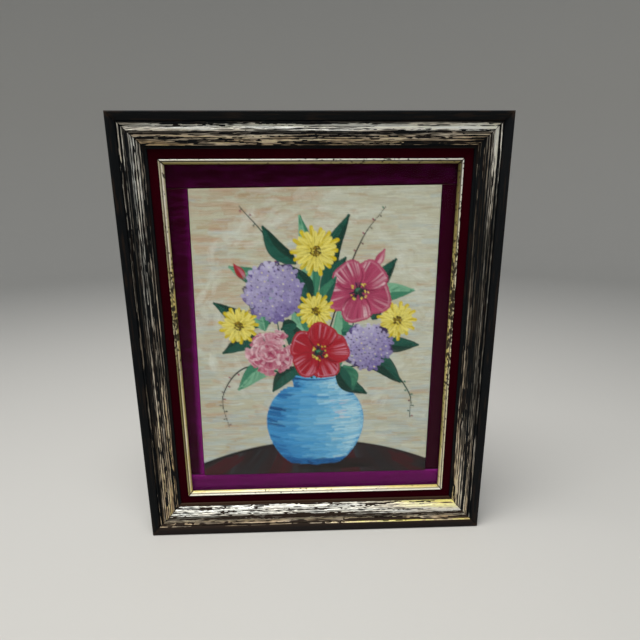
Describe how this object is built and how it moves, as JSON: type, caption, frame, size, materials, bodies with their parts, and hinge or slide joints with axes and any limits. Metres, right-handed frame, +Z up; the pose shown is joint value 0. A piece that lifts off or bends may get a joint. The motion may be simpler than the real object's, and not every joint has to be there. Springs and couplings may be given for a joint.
{
  "type": "framed oil painting",
  "caption": "Small oil still life of flowers in a blue vase, glazed, in a dark combed silver and gold wooden moulding with burgundy velvet liner, gilt slip and purple velvet surround.",
  "frame": {"origin": "middle of the back face of the sawtooth hanger, where the picture meets the wall", "axes": "+Z up, +X to the right of someone facing the picture, +Y from the picture into the wall, so the picture looks towards -Y"},
  "size_m": [0.298, 0.0295, 0.355],
  "materials": {
    "ebonised_leafed_wood": "black stained moulding, combed and rubbed with silver and gold leaf",
    "burgundy_velvet": "short pile velvet glued on wood",
    "gilt_wood": "gilded, satin, slightly worn",
    "clear_glass": "clear picture glass",
    "purple_velvet": "short pile velvet glued on card",
    "oil_on_canvas_board": "oil paint with low brush relief on canvas board",
    "hardboard": "bare brown hardboard",
    "zinc_plated_steel": "thin zinc plating"
  },
  "bodies": {
    "root": {"frame_rail_top": "ebonised_leafed_wood", "frame_rail_bottom": "ebonised_leafed_wood", "frame_rail_left": "ebonised_leafed_wood", "frame_rail_right": "ebonised_leafed_wood", "liner_rail_top": "burgundy_velvet", "liner_rail_bottom": "burgundy_velvet", "liner_rail_left": "burgundy_velvet", "liner_rail_right": "burgundy_velvet", "gilt_slip_top": "gilt_wood", "gilt_slip_bottom": "gilt_wood", "gilt_slip_left": "gilt_wood", "gilt_slip_right": "gilt_wood", "velvet_strip_top": "purple_velvet", "velvet_strip_bottom": "purple_velvet", "velvet_strip_left": "purple_velvet", "velvet_strip_right": "purple_velvet", "glass_pane": "clear_glass", "painted_panel": "oil_on_canvas_board", "backing_board": "hardboard", "framing_point_1": "zinc_plated_steel", "framing_point_2": "zinc_plated_steel", "framing_point_3": "zinc_plated_steel", "framing_point_4": "zinc_plated_steel", "framing_point_5": "zinc_plated_steel", "framing_point_6": "zinc_plated_steel", "framing_point_7": "zinc_plated_steel", "framing_point_8": "zinc_plated_steel", "sawtooth_hanger": "zinc_plated_steel", "hanger_nail_left": "zinc_plated_steel", "hanger_nail_right": "zinc_plated_steel"}
  },
  "joints": []
}
